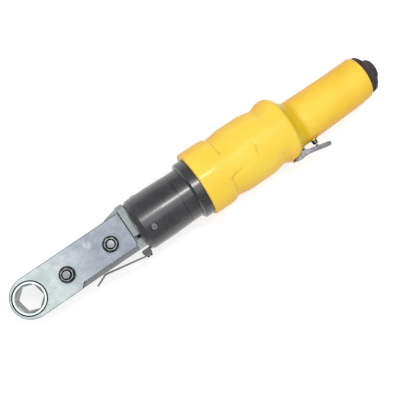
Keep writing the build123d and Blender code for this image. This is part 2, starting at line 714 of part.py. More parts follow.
# ---------------------------------------------------------------- files
def pieces():
    yield "head_body", head_body()
    yield "top_cover_plate", cover_plate(1)
    yield "bottom_cover_plate", cover_plate(-1)
    yield "clamp_bolts", clamp_bolts()
    yield "clamp_nuts", clamp_nuts()
    yield "clamp_washers", clamp_washers()
    yield "ratchet_ring", ratchet_ring()
    yield "rocker", rocker()
    yield "drive_pawl", drive_pawl()
    yield "drive_pawl_pin", post(PAWL_PIN_RADIUS, -10.6, 10.6, *PAWL_PIVOT)
    yield "drive_pawl_spring", Pos(23.6, 3, 0) * Rot(0, 90, 0) * coil(0.3, 1.4, 1.2, 5.4)
    yield "holding_lever", holding_lever()
    yield "holding_lever_pin", post(LEVER_PIN_RADIUS, -10.8, 10.8, *LEVER_PIVOT)
    yield "leaf_spring", leaf_spring()
    yield "leaf_spring_bracket", leaf_spring_bracket()
    yield "leaf_spring_screw", leaf_spring_screw()
    yield "gear_housing", gear_housing()
    yield "head_set_screws", head_set_screws()
    yield "coupling_collar", coupling_collar()
    yield "crankshaft", crankshaft()
    yield "drive_bushing", drive_bushing()
    bearings = (
        ("crank_bearing", bearing(9, 19, 143.2, 152.8, 11)),
        ("front_rotor_bearing", bearing(ROTOR_SHAFT, 11, 190.6, 196.4, 8)),
        ("rear_rotor_bearing", bearing(ROTOR_SHAFT, 11, 268.6, 274.6, 8)),
    )
    for name, (outer_race, inner_race, balls) in bearings:
        yield name + "_outer_race", outer_race
        yield name + "_inner_race", inner_race
        yield name + "_balls", balls
    for number, angle in enumerate(PLANET_ANGLES, 1):
        yield f"planet_gear_{number}", planet_gear(angle)
    yield "planet_pins", planet_pins()
    yield "carrier_plate", carrier_plate()
    yield "ring_gear", ring_gear()
    yield "rotor_shaft", rotor_shaft()
    yield "rotor", rotor()
    yield "rotor_vanes", rotor_vanes()
    yield "motor_cylinder", motor_cylinder()
    yield "front_end_plate", end_plate(MOTOR_FRONT, CYLINDER_FRONT, 190.4, MOTOR_FRONT, 11, 8)
    yield "rear_end_plate", end_plate(CYLINDER_REAR, 268.4, 268.4, MOTOR_REAR, 11, 8)
    yield "motor_casing", motor_casing()
    yield "motor_cover", motor_cover()
    yield "handle_core", handle_core()
    yield "handle_sleeve", handle_sleeve()
    yield "end_cap", end_cap()
    yield "exhaust_muffler", exhaust_muffler()
    yield "inlet_bushing", inlet_bushing()
    yield "inlet_screen", inlet_screen()
    yield "throttle_lever", throttle_lever()
    yield "lever_pin", lever_pin()
    yield "valve_plunger", valve_plunger()
    yield "valve_ball", valve_ball()
    yield "valve_seat", valve_seat()
    yield "valve_bushing", valve_bushing()
    yield "valve_o_ring", valve_o_ring()
    yield "valve_spring", valve_spring()
    yield "valve_plug", valve_plug()


os.makedirs("parts", exist_ok=True)
for name, shape in pieces():
    save(shape, name)
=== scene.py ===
"""Air ratchet wrench: looks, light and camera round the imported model. mm() turns millimetres into metres."""
import bmesh
import bpy
import json
import math
from mathutils import Matrix, Vector

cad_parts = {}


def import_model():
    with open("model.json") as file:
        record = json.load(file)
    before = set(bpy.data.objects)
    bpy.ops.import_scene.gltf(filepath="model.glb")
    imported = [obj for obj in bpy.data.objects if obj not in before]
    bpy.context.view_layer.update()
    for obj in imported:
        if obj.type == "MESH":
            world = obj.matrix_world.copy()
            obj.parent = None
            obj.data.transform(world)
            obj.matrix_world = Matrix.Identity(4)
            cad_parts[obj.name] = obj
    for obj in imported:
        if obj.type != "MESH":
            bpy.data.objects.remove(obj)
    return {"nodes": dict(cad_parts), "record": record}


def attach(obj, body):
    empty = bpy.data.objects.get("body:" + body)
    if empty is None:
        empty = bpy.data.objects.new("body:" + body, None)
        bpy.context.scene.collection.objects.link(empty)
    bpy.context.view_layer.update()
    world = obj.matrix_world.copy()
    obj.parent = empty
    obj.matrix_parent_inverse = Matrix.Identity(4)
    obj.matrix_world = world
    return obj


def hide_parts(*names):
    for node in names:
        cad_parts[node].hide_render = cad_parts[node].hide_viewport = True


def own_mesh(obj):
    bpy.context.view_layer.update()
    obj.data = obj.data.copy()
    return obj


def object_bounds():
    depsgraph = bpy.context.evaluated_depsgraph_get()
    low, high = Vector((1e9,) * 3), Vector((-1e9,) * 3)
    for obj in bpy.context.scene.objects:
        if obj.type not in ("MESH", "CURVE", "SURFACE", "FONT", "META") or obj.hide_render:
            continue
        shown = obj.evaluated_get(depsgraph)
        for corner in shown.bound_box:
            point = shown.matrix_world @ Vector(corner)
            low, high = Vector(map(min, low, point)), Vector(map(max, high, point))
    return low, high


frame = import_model()
cad_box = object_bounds()
record = frame["record"]
nodes = frame["nodes"]


def mm(value):
    return value / 1000


def smooth(low, high, value):
    """0 below low, 1 above high, and a smooth step between."""
    if low == high:
        return 1.0 if value >= high else 0.0
    t = min(max((value - low) / (high - low), 0.0), 1.0)
    return t * t * (3 - 2 * t)


def bump_at(centre, width, value):
    return math.exp(-((value - centre) / width) ** 2)


def profile(points, x):
    """Smooth curve through (x, value) points that never overshoots them."""
    if x <= points[0][0]:
        return points[0][1]
    if x >= points[-1][0]:
        return points[-1][1]
    rises = [(v1 - v0) / (x1 - x0) for (x0, v0), (x1, v1) in zip(points, points[1:])]
    inner = [2 * a * b / (a + b) if a * b > 0 else 0.0 for a, b in zip(rises, rises[1:])]
    slopes = [0.0, *inner, 0.0]
    spot = max(n for n, (place, _) in enumerate(points[:-1]) if place <= x)
    (x0, v0), (x1, v1) = points[spot], points[spot + 1]
    span = x1 - x0
    t = (x - x0) / span
    near = v0 * (1 + 2 * t) + slopes[spot] * span * t
    far = v1 * (3 - 2 * t) - slopes[spot + 1] * span * (1 - t)
    return near * (1 - t) ** 2 + far * t ** 2


# ---------------------------------------------------------------- materials
class Look:
    """A principled material whose colour, roughness and relief come from procedural nodes."""

    def __init__(self, name, metallic=0.0, coat=0.0, coat_roughness=0.1, specular=0.5):
        self.material = bpy.data.materials.new(name)
        self.material.use_nodes = True
        self.tree = self.material.node_tree
        self.shader = self.tree.nodes["Principled BSDF"]
        self.shader.inputs["Metallic"].default_value = metallic
        self.shader.inputs["Coat Weight"].default_value = coat
        self.shader.inputs["Coat Roughness"].default_value = coat_roughness
        self.shader.inputs["Specular IOR Level"].default_value = specular
        self.place = self.node("ShaderNodeTexCoord").outputs["Object"]
        self.normal = None

    def node(self, kind, **settings):
        made = self.tree.nodes.new(kind)
        for key, value in settings.items():
            setattr(made, key, value)
        return made

    def link(self, start, end):
        self.tree.links.new(start, end)

    def stretched(self, scale):
        """Object coordinates scaled along each axis, for grain that runs one way."""
        mapping = self.node("ShaderNodeMapping")
        mapping.inputs["Scale"].default_value = scale
        self.link(self.place, mapping.inputs["Vector"])
        return mapping.outputs["Vector"]

    def noise(self, scale, detail=4.0, roughness=0.6, stretch=None, distortion=0.0):
        made = self.node("ShaderNodeTexNoise")
        made.inputs["Scale"].default_value = scale
        made.inputs["Detail"].default_value = detail
        made.inputs["Roughness"].default_value = roughness
        made.inputs["Distortion"].default_value = distortion
        self.link(self.stretched(stretch) if stretch else self.place, made.inputs["Vector"])
        return made.outputs["Fac"]

    def ramp(self, source, *stops):
        made = self.node("ShaderNodeValToRGB")
        elements = made.color_ramp.elements
        while len(elements) < len(stops):
            elements.new(0.5)
        for element, (place, colour) in zip(elements, stops):
            element.position = place
            element.color = (*colour, 1)
        self.link(source, made.inputs["Fac"])
        return made.outputs["Color"]

    def span(self, source, low, high, start=0.0, end=1.0):
        made = self.node("ShaderNodeMapRange")
        for key, value in (("From Min", start), ("From Max", end), ("To Min", low), ("To Max", high)):
            made.inputs[key].default_value = value
        self.link(source, made.inputs["Value"])
        return made.outputs["Result"]

    def mix(self, factor, first, second, blend="MIX"):
        made = self.node("ShaderNodeMix", data_type="RGBA", blend_type=blend)
        for key, value in (("Factor", factor), ("A", first), ("B", second)):
            socket = made.inputs[key]
            if isinstance(value, (int, float)):
                socket.default_value = value
            elif isinstance(value, tuple):
                socket.default_value = (*value, 1)
            else:
                self.link(value, socket)
        return made.outputs["Result"]

    def axis_value(self, axis):
        made = self.node("ShaderNodeSeparateXYZ")
        self.link(self.place, made.inputs["Vector"])
        return made.outputs[axis]

    def near(self, centre, reach):
        """A faded patch round a point, streaked by fine noise."""
        made = self.node("ShaderNodeVectorMath", operation="DISTANCE")
        made.inputs[1].default_value = centre
        self.link(self.place, made.inputs[0])
        streaks = self.noise(300, detail=4, stretch=(1, 0.3, 1))
        product = self.node("ShaderNodeMath", operation="MULTIPLY")
        self.link(self.span(made.outputs["Value"], 0.9, 0.0, 0.0, reach), product.inputs[0])
        self.link(self.span(streaks, 0.0, 1.0, 0.42, 0.6), product.inputs[1])
        return product.outputs["Value"]

    def facing(self, low, high):
        """0 where the surface leans away from the up and down directions, 1 where it faces them."""
        parts = self.node("ShaderNodeSeparateXYZ")
        self.link(self.node("ShaderNodeTexCoord").outputs["Normal"], parts.inputs["Vector"])
        size = self.node("ShaderNodeMath", operation="ABSOLUTE")
        self.link(parts.outputs["Z"], size.inputs[0])
        return self.span(size.outputs["Value"], 0.0, 1.0, low, high)

    def hollows(self, low, high):
        """1 in the creases of a finely meshed piece, 0 on its open faces."""
        return self.span(self.node("ShaderNodeNewGeometry").outputs["Pointiness"], 1.0, 0.0, low, high)

    def relief(self, height, strength, distance):
        made = self.node("ShaderNodeBump")
        made.inputs["Strength"].default_value = strength
        made.inputs["Distance"].default_value = distance
        self.link(height, made.inputs["Height"])
        if self.normal:
            self.link(self.normal, made.inputs["Normal"])
        self.normal = made.outputs["Normal"]

    def finish(self, colour, roughness):
        self.link(colour, self.shader.inputs["Base Color"])
        self.link(roughness, self.shader.inputs["Roughness"])
        if self.normal:
            self.link(self.normal, self.shader.inputs["Normal"])
        return self.material


def shade(colour, factor):
    return tuple(min(1.0, channel * factor) for channel in colour)


# Painted wall tone for steel walls that face sideways: light and shade painted into the colour.
PAINTED_WALL_TONE = (0.30, 0.31, 0.315)
BLACK = (0, 0, 0)
WHITE = (1, 1, 1)
EVEN = (1, 1, 1)
ALONG = (3, 0.4, 0.4)
ACROSS = (0.3, 2, 2)


def metal(name, colour, roughness, grain, grain_scale, spread, metallic=1.0, relief=0.15, side=None):
    """Machined or drawn metal with fine grain, cloudy tarnish and marks; side is a painted tone for its walls
    that stands for the light and shade on them.
    """
    look = Look(name, metallic=metallic)
    cloud = look.noise(45, detail=5)
    fine = look.noise(grain_scale, detail=6, stretch=grain)
    base = look.ramp(cloud, (0.3, shade(colour, 1 - spread)), (0.7, shade(colour, 1 + spread)))
    tone = look.ramp(fine, (0.35, (0.82, 0.82, 0.83)), (0.65, WHITE))
    scratch = look.noise(220, detail=8, roughness=0.8, stretch=grain)
    look.relief(fine, relief, 0.0002)
    look.relief(scratch, relief * 0.6, 0.0003)
    if side:
        # Painted light and shade: surfaces facing sideways take the side tone in place of the metal's own
        # colour.
        base = look.mix(look.facing(0.78, 0.95), side, base)
    colour = look.mix(1.0, base, tone, "MULTIPLY")
    return look.finish(colour, look.span(cloud, roughness - 0.08, roughness + 0.12))


def plate_steel():
    """Ground plate: painted lighter toward the socket end for the light falling there, bluish and mottled
    behind, with sanded grain, painted shade on its rims and walls and a painted highlight between the nuts.
    """
    look = Look("plate_steel_look", metallic=0.75)
    along = look.axis_value("X")
    cloud = look.noise(38, detail=6, roughness=0.65, distortion=0.4)
    blotch = look.noise(120, detail=5, roughness=0.7)
    # Painted light: the plate is painted lighter toward the socket end, as if that end caught more light, and
    # darker and bluish behind.
    light = look.ramp(cloud, (0.35, (0.36, 0.41, 0.40)), (0.65, (0.48, 0.53, 0.52)))
    blue = look.ramp(cloud, (0.3, (0.17, 0.185, 0.215)), (0.7, (0.29, 0.31, 0.35)))
    body = look.mix(look.span(along, 0.0, 1.0, 0.028, 0.075), light, blue)
    # Painted shade: the chamfered rims are painted near-black and the walls take the painted wall tone.
    painted_rim_shade = look.mix(look.facing(0.75, 0.95), (0.03, 0.033, 0.036), body)
    body = look.mix(look.facing(0.2, 0.45), shade(PAINTED_WALL_TONE, 0.9), painted_rim_shade)
    patch = look.ramp(blotch, (0.4, (0.82, 0.83, 0.85)), (0.62, WHITE))
    grain = look.noise(1500, detail=4, stretch=(0.5, 1.4, 1))
    speckle = look.ramp(grain, (0.38, (0.86, 0.87, 0.88)), (0.62, WHITE))
    # Painted highlight: a paler patch between the nuts stands in for a glint of light on the plate.
    wear_and_highlight = look.near((0.0715, 0.0125, 0.015), 0.007)
    body = look.mix(wear_and_highlight, body, (0.50, 0.52, 0.54))
    look.relief(grain, 0.18, 0.0002)
    look.relief(blotch, 0.08, 0.0006)
    colour = look.mix(1.0, look.mix(1.0, body, patch, "MULTIPLY"), speckle, "MULTIPLY")
    return look.finish(colour, look.span(cloud, 0.34, 0.52))


def black_metal():
    """Black oxide with a satin oil film, faint turning marks and rubbed patches."""
    look = Look("black_metal_look", metallic=0.2, coat=0.75, coat_roughness=0.2, specular=0.4)
    cloud = look.noise(60, detail=6)
    turning = look.noise(700, detail=3, stretch=(3, 0.2, 0.2))
    base = look.ramp(cloud, (0.3, (0.022, 0.022, 0.025)), (0.7, (0.046, 0.046, 0.051)))
    rub = look.ramp(look.noise(170, detail=8, roughness=0.75), (0.60, BLACK), (0.78, WHITE))
    worn = look.mix(rub, base, (0.11, 0.11, 0.12))
    look.relief(turning, 0.12, 0.0002)
    look.relief(look.noise(1400, detail=3), 0.08, 0.0002)
    return look.finish(worn, look.span(cloud, 0.30, 0.44))


def yellow_cover():
    """Glossy moulded yellow with painted shade, warmer and darker low on the sides, in the creases and round
    the neck; slight mottling, orange peel and scuffs.
    """
    look = Look("yellow_cover_look", coat=0.2, coat_roughness=0.12, specular=0.1)
    cloud = look.noise(26, detail=4)
    crown = look.ramp(cloud, (0.3, (0.93, 0.63, 0.062)), (0.7, (0.97, 0.71, 0.090)))
    side = look.ramp(cloud, (0.3, (0.78, 0.36, 0.0)), (0.7, (0.86, 0.43, 0.006)))
    height = look.axis_value("Z")
    # Painted shade: the lower sides take a darker, more orange copy of the yellow.
    body = look.mix(look.span(height, 1.0, 0.0, 0.004, 0.026), crown, side)
    # Painted shade: the creases are darkened.
    body = look.mix(look.hollows(0.474, 0.496), body, (0.70, 0.45, 0.018))
    along = look.axis_value("X")
    # Painted shade: a darker band round the neck behind the rear rim.
    neck = look.mix(look.span(along, 0.0, 1.0, 0.2995, 0.304), body, (0.70, 0.46, 0.012))
    body = look.mix(look.span(along, 0.0, 1.0, 0.313, 0.319), neck, body)
    dirt = look.noise(90, detail=8, roughness=0.75)
    grime = look.ramp(dirt, (0.62, WHITE), (0.82, (0.86, 0.80, 0.70)))
    look.relief(look.noise(420, detail=3), 0.06, 0.0004)
    look.relief(look.noise(30, detail=2), 0.10, 0.0015)
    return look.finish(look.mix(1.0, body, grime, "MULTIPLY"), look.span(cloud, 0.26, 0.40))


def dark_rubber():
    look = Look("dark_rubber_look", specular=0.35)
    cloud = look.noise(80, detail=6)
    base = look.ramp(cloud, (0.3, (0.030, 0.020, 0.020)), (0.7, (0.062, 0.046, 0.046)))
    look.relief(look.noise(1100, detail=5), 0.3, 0.0003)
    return look.finish(base, look.span(cloud, 0.55, 0.75))


def cast_lever():
    """Worn pressed steel: grey scale with bright rubbed metal."""
    look = Look("lever_steel_look", metallic=0.8)
    cloud = look.noise(260, detail=8, roughness=0.7)
    scale, bare, wear_and_highlight = (0.12, 0.12, 0.12), (0.21, 0.21, 0.22), (0.36, 0.36, 0.37)
    base = look.ramp(cloud, (0.32, scale), (0.52, bare), (0.70, wear_and_highlight))
    look.relief(look.noise(600, detail=6), 0.35, 0.0004)
    return look.finish(base, look.span(cloud, 0.50, 0.30))


def felt():
    look = Look("felt_look", specular=0.2)
    fibres = look.noise(1600, detail=6, distortion=2.0)
    base = look.ramp(fibres, (0.3, (0.28, 0.25, 0.22)), (0.7, (0.50, 0.47, 0.43)))
    look.relief(fibres, 0.6, 0.0005)
    return look.finish(base, look.span(fibres, 0.85, 1.0))


def phenolic():
    look = Look("vane_look", specular=0.4)
    weave = look.noise(900, detail=3, stretch=(0.3, 2, 2))
    base = look.ramp(weave, (0.35, (0.13, 0.055, 0.022)), (0.65, (0.25, 0.12, 0.05)))
    look.relief(weave, 0.25, 0.0003)
    return look.finish(base, look.span(weave, 0.45, 0.6))


# Colour, roughness, stretch of the grain, its scale, spread of tone, then metallic, relief and the painted
# wall tone that stands for light and shade on the walls.
METALS = {
    "body_steel": ((0.24, 0.26, 0.255), 0.45, EVEN, 900, 0.30, 0.8, 0.5, PAINTED_WALL_TONE),
    # ring_steel and bolt_steel paint their walls near-black: painted shade in the sockets and on the nut and
    # bolt flanks.
    "ring_steel": ((0.46, 0.50, 0.505), 0.26, EVEN, 700, 0.10, 1.0, 0.15, (0.035, 0.033, 0.032)),
    "bolt_steel": ((0.19, 0.20, 0.205), 0.34, EVEN, 800, 0.45, 1.0, 0.15, (0.03, 0.03, 0.03)),
    "tool_steel": ((0.125, 0.13, 0.135), 0.42, ACROSS, 900, 0.2, 1.0, 0.15, PAINTED_WALL_TONE),
    "spring_steel": ((0.10, 0.10, 0.10), 0.40, ACROSS, 900, 0.3),
    "bearing_steel": ((0.75, 0.76, 0.78), 0.14, (3, 0.3, 0.3), 600, 0.05),
    "gear_steel": ((0.42, 0.43, 0.45), 0.34, ALONG, 800, 0.15),
    "bronze": ((0.55, 0.34, 0.14), 0.38, ALONG, 900, 0.2),
    "motor_steel": ((0.55, 0.56, 0.58), 0.26, (0.3, 3, 3), 700, 0.1),
    "motor_iron": ((0.22, 0.22, 0.23), 0.48, EVEN, 1500, 0.25, 0.9, 0.35),
    "rotor_aluminium": ((0.72, 0.73, 0.74), 0.32, ALONG, 700, 0.08),
    "core_aluminium": ((0.60, 0.61, 0.62), 0.36, ALONG, 700, 0.12),
    "bracket_steel": ((0.08, 0.08, 0.082), 0.45, EVEN, 900, 0.3, 0.8, 0.3),
    # A near-black finish that also stands in for the shade round the nuts and the lever pin.
    "black_and_shade": ((0.025, 0.025, 0.027), 0.5, EVEN, 900, 0.3, 0.6, 0.3),
    "brass": ((0.72, 0.50, 0.20), 0.30, (2, 0.5, 0.5), 800, 0.15),
}
looks = {slot: metal(slot + "_look", *settings) for slot, settings in METALS.items()}
looks["plate_steel"] = plate_steel()
looks["black_metal"] = black_metal()
looks["yellow_cover"] = yellow_cover()
looks["lever_steel"] = cast_lever()
looks["dark_rubber"] = dark_rubber()
looks["black_knob"] = dark_rubber()
looks["felt"] = felt()
looks["vane"] = phenolic()


def dress(obj, slot):
    obj.data.materials.clear()
    obj.data.materials.append(looks[slot])


OTHER_LOOKS = {
    # The washers and the lever pin are black, and their black also stands in for the shade round the nuts and
    # the pin.
    "clamp_washers": "black_and_shade",
    "leaf_spring_bracket": "bracket_steel",
    "head_set_screws": "ring_steel",
    "lever_pin": "black_and_shade",
}
for part in record["subparts"]:
    dress(nodes[part["node"]], OTHER_LOOKS.get(part["node"], part["material_slot"]))


# ---------------------------------------------------------------- mesh helpers
def piece(name, bm, body, slot, *replaced, sharp=40):
    """Turns a bmesh into a finished piece on a CAD body."""
    bmesh.ops.recalc_face_normals(bm, faces=bm.faces)
    mesh = bpy.data.meshes.new(name)
    bm.to_mesh(mesh)
    bm.free()
    for face in mesh.polygons:
        face.use_smooth = True
    mesh.set_sharp_from_angle(angle=math.radians(sharp))
    obj = bpy.data.objects.new(name, mesh)
    bpy.context.scene.collection.objects.link(obj)
    mesh.materials.append(looks[slot])
    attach(obj, body)
    if replaced:
        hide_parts(*replaced)
    return obj


def skin(stations, steps, point, closed_ends=True):
    """A tube of rings of vertices at point(station, angle). With open ends, the last ring joins the first."""
    bm = bmesh.new()
    rings = []
    for station in stations:
        rings.append([bm.verts.new(point(station, math.tau * n / steps)) for n in range(steps)])
    pairs = list(zip(rings, rings[1:]))
    if not closed_ends:
        pairs.append((rings[-1], rings[0]))
    for first, second in pairs:
        for n in range(steps):
            m = (n + 1) % steps
            bm.faces.new((first[n], first[m], second[m], second[n]))
    if closed_ends:
        bm.faces.new(rings[0])
        bm.faces.new(list(reversed(rings[-1])))
    return bm


CARVED_SHARP = 35


def carve(obj, *cutters):
    """Cuts solids out of a piece and uses them up."""
    for cutter in cutters:
        modifier = obj.modifiers.new("cut", "BOOLEAN")
        modifier.operation = "DIFFERENCE"
        modifier.object = cutter
        modifier.solver = "EXACT"
        result = bpy.data.meshes.new_from_object(obj.evaluated_get(bpy.context.evaluated_depsgraph_get()))
        obj.modifiers.clear()
        old = obj.data
        obj.data = result
        bpy.data.meshes.remove(old)
        bpy.data.objects.remove(cutter)
    for face in obj.data.polygons:
        face.use_smooth = True
    obj.data.set_sharp_from_angle(angle=math.radians(CARVED_SHARP))


def loose(bm):
    """An object for a cutter, which carve() takes away again."""
    mesh = bpy.data.meshes.new("cutter")
    bm.to_mesh(mesh)
    bm.free()
    obj = bpy.data.objects.new("cutter", mesh)
    bpy.context.scene.collection.objects.link(obj)
    return obj


def cutter_box(low, high):
    bm = bmesh.new()
    bmesh.ops.create_cube(bm, size=1)
    size = [b - a for a, b in zip(low, high)]
    middle = [(a + b) / 2 for a, b in zip(low, high)]
    for vert in bm.verts:
        vert.co = Vector([mm(m + c * s) for m, c, s in zip(middle, vert.co, size)])
    return loose(bm)


def cutter_bar(radius, start, end, x):
    """A round bar along Y."""
    bm = bmesh.new()
    turn = Matrix.Rotation(math.radians(90), 4, "X")
    place = Matrix.Translation((mm(x), mm((start + end) / 2), 0)) @ turn
    bmesh.ops.create_cone(bm, cap_ends=True, segments=48, radius1=mm(radius), radius2=mm(radius),
                          depth=mm(end - start), matrix=place)
    return loose(bm)


def run(start, end, step):
    """Evenly spaced values from start to end, about step apart."""
    count = max(1, round((end - start) / step))
    return [start + (end - start) * n / count for n in range(count + 1)]


# ---------------------------------------------------------------- motor cover
LEVER_PIVOT_NOTCH = ((290.6, -50, -8.2), (303, -31.3, 8.2))
LEVER_SLOT_HALF = 7.6
COVER_SLOT = ((299.5, -50, -LEVER_SLOT_HALF), (320, -17, LEVER_SLOT_HALF))
GRIP_SLOT = ((312, -50, -LEVER_SLOT_HALF), (314, -17, LEVER_SLOT_HALF))
VALVE_X = 322
HANDLE_BORE = 18.4
HANDLE_OFFSET = -2.4
COVER_OFFSET = 1.6
COVER_BORE = 26.6
COVER_FRONT = 195.2
COVER_REAR = 313
COVER_NECK = 301
COVER_RIM = [COVER_FRONT, 195.5, 195.9, 196.4]
COVER_RUNS = ((197.5, 218, 1.6), (219, 245, 0.7), (246.5, 268, 1.0), (269, COVER_REAR, 0.8))
COVER_WALLS = [(COVER_REAR, 2), (299.2, 2), (292, 1), (196, 1), (COVER_FRONT, 1)]
COVER_HALF_WIDTH = 35
LUG_SIDES = (0.50, 0.72)
CREASE_STEP = (-1.9, 2.3)
CREASE_FADE = (3, 20)
CREASE_DEPTH = 2.0
CREASE_X = 224.4
FAR_CREASE_X = 221.8
FOLD_X = 258.6
FOLD_ACROSS = -5.5
FOLD_SLANT = 0.23
FOLD_WIDTH = 1.5
FOLD_REACH = 6.5
FOLD_DEPTH = 0.7
CROWN = (
    (COVER_FRONT, 34.6), (196.4, 35.55), (214, 35.5), (224, 35.2), (240, 34.9), (262, 34.9), (285, 35.0),
    (298, 35.2), (300.5, 34.6), (303.5, 31.6), (306.5, 27.6), (309.5, 25.7), (COVER_REAR, 24.92),
)
FLANK = (
    (COVER_FRONT, 34.6), (196.4, 35.55), (214, 35.5), (222, 34.9), (244, 34.8), (262, 34.7), (269, 34.5),
    (276, 33.3), (281.5, 32.3), (286, 33.2), (291, 35.2), (296, 35.4), (300, 34.4), (303.5, 32.0),
    (307, 28.6), (310, 26.4), (COVER_REAR, 24.92),
)


def cover_radius(x, angle):
    """Outer radius of the cover at x, for an angle from the crown towards +Y."""
    side = abs(math.sin(angle))
    across = COVER_HALF_WIDTH * math.sin(angle)
    crown, flank = profile(CROWN, x), profile(FLANK, x)
    lug = smooth(*LUG_SIDES, side)
    radius = crown + (flank - crown) * lug
    if math.cos(angle) > -0.2 or side > 0.5:
        if across > 0:
            start = CREASE_X + 4.5 * smooth(14, 6, across)
            depth = CREASE_DEPTH * smooth(6.5, 14, across)
        else:
            start = FAR_CREASE_X + 9 * smooth(-16, -9.5, across)
            depth = CREASE_DEPTH * smooth(-9.0, -15, across)
        step = smooth(start + CREASE_STEP[0], start + CREASE_STEP[1], x)
        fade = smooth(start + CREASE_FADE[0], start + CREASE_FADE[1], x)
        radius -= depth * (step * (1 - fade))
        if math.cos(angle) > 0:
            middle = FOLD_X + FOLD_SLANT * (across - FOLD_ACROSS)
            fold = bump_at(middle, FOLD_WIDTH, x) * bump_at(FOLD_ACROSS, FOLD_REACH, across)
            radius -= FOLD_DEPTH * fold
    return radius


def cover_point(station, angle):
    """station is (x, wall), where wall 0 is the outside, 1 the motor's bore and 2 the handle's."""
    x, wall = station
    radius = (cover_radius(x, angle), COVER_BORE, HANDLE_BORE)[wall]
    neck = smooth(COVER_NECK, COVER_REAR, x)
    offset = 0 if wall else COVER_OFFSET * (1 - neck) + HANDLE_OFFSET * neck
    return Vector((mm(x), mm(offset + radius * math.sin(angle)), mm(radius * math.cos(angle))))


def motor_cover():
    outer = [(x, 0) for x in COVER_RIM]
    for start, end, step in COVER_RUNS:
        outer += [(x, 0) for x in run(start, end, step)]
    bm = skin(outer + COVER_WALLS, 360, cover_point, closed_ends=False)
    cover = piece("motor_cover_shell", bm, "housing", "yellow_cover", "motor_cover")
    carve(cover, cutter_box(*LEVER_PIVOT_NOTCH), cutter_box(*COVER_SLOT))


# ---------------------------------------------------------------- grip
GRIP_FRONT = 313.02
GRIP_REAR = 400
GRIP_RADII = ((313, 24.9), (339, 24.5), (366, 24.1), (386, 23.8), (GRIP_REAR, 23.3))
GRIP_OFFSETS = ((313, HANDLE_OFFSET), (339, -2.2), (366, -1.7), (386, -1.0), (GRIP_REAR, -0.2))
GRIP_RIM = [(398.6, 0.12), (399.3, 0.5), (399.8, 0.95), (GRIP_REAR, 1.5)]
BORE = 1
PLUNGER_HOLE_RADIUS = 5.6


def grip_point(station, angle):
    """station is (x, edge), where edge is how far the rim is rounded inwards, or BORE for the inside."""
    x, edge = station
    if edge == BORE:
        return Vector((mm(x), mm(HANDLE_BORE * math.sin(angle)), mm(HANDLE_BORE * math.cos(angle))))
    radius = profile(GRIP_RADII, x) - edge
    offset = profile(GRIP_OFFSETS, x)
    return Vector((mm(x), mm(offset + radius * math.sin(angle)), mm(radius * math.cos(angle))))


def handle_grip():
    outer = [(x, 0) for x in run(GRIP_FRONT, 397.8, 1.6)]
    inner = [(GRIP_REAR, BORE), (GRIP_FRONT, BORE)]
    bm = skin(outer + GRIP_RIM + inner, 192, grip_point, closed_ends=False)
    grip = piece("grip_sleeve", bm, "housing", "yellow_cover", "handle_sleeve")
    carve(grip, cutter_bar(PLUNGER_HOLE_RADIUS, -40, -10, VALVE_X), cutter_box(*GRIP_SLOT))


# ---------------------------------------------------------------- clamp nuts and bolts
PLATE_TOP = 15.0
PLATE_BOTTOM = -15.0
NUT_FLATS = 13.0
NUT_HEIGHT = 6.5
NUT_BORE = 4.05
NUT_DISH = 5.2
NUT_TOP_CORNER = 6.9
NUT_FOOT_CORNER = 7.1
NUT_EDGE = 0.7
BOLT_END = 1.6
BOLT_RADIUS = 3.9
BOLT_TIP_RADIUS = 2.6
SHANK_TOP = 14.6
BOLT_HEAD = -20.3
HEAD_CORNER = 6.4
THREAD_RADIUS = 3.95
THREAD_PITCH = 1.25
THREAD_DEPTH = 0.5
CHAMFER_SLOPE = 1.7
BOLT_PLACES = ((41.5, -1.0, 3.4, 38), (91.5, 0.0, 1.6, 14))


def hexagon_radius(angle, turn):
    return NUT_FLATS / 2 / math.cos((angle - turn) % math.radians(60) - math.radians(30))


def upright(x, y):
    """Places stations of (height, radius), or of a rule for the radius, round a vertical line."""
    def point(station, angle):
        z, radius = station
        reach = radius(z, angle) if callable(radius) else radius
        return Vector((mm(x + reach * math.cos(angle)), mm(y + reach * math.sin(angle)), mm(z)))
    return point


def clamp_nut(x, y, washer, turn):
    foot = PLATE_TOP + washer
    top = foot + NUT_HEIGHT
    turned = math.radians(turn + 30)

    def hexagon(z, angle):
        upper = NUT_TOP_CORNER + CHAMFER_SLOPE * (top - z)
        lower = NUT_FOOT_CORNER + CHAMFER_SLOPE * (z - foot)
        return min(hexagon_radius(angle, turned), upper, lower) - NUT_EDGE * smooth(top - NUT_EDGE, top, z)

    rings = [(foot, NUT_BORE)] + [(z, hexagon) for z in run(foot + 0.01, top - 0.01, 0.3)]
    rings += [(top, hexagon), (top, NUT_DISH), (top - 1.1, NUT_BORE)]
    bm = skin(rings, 96, upright(x, y), closed_ends=False)
    piece(f"clamp_nut_{round(x)}", bm, "housing", "bolt_steel", "clamp_nuts", sharp=28)


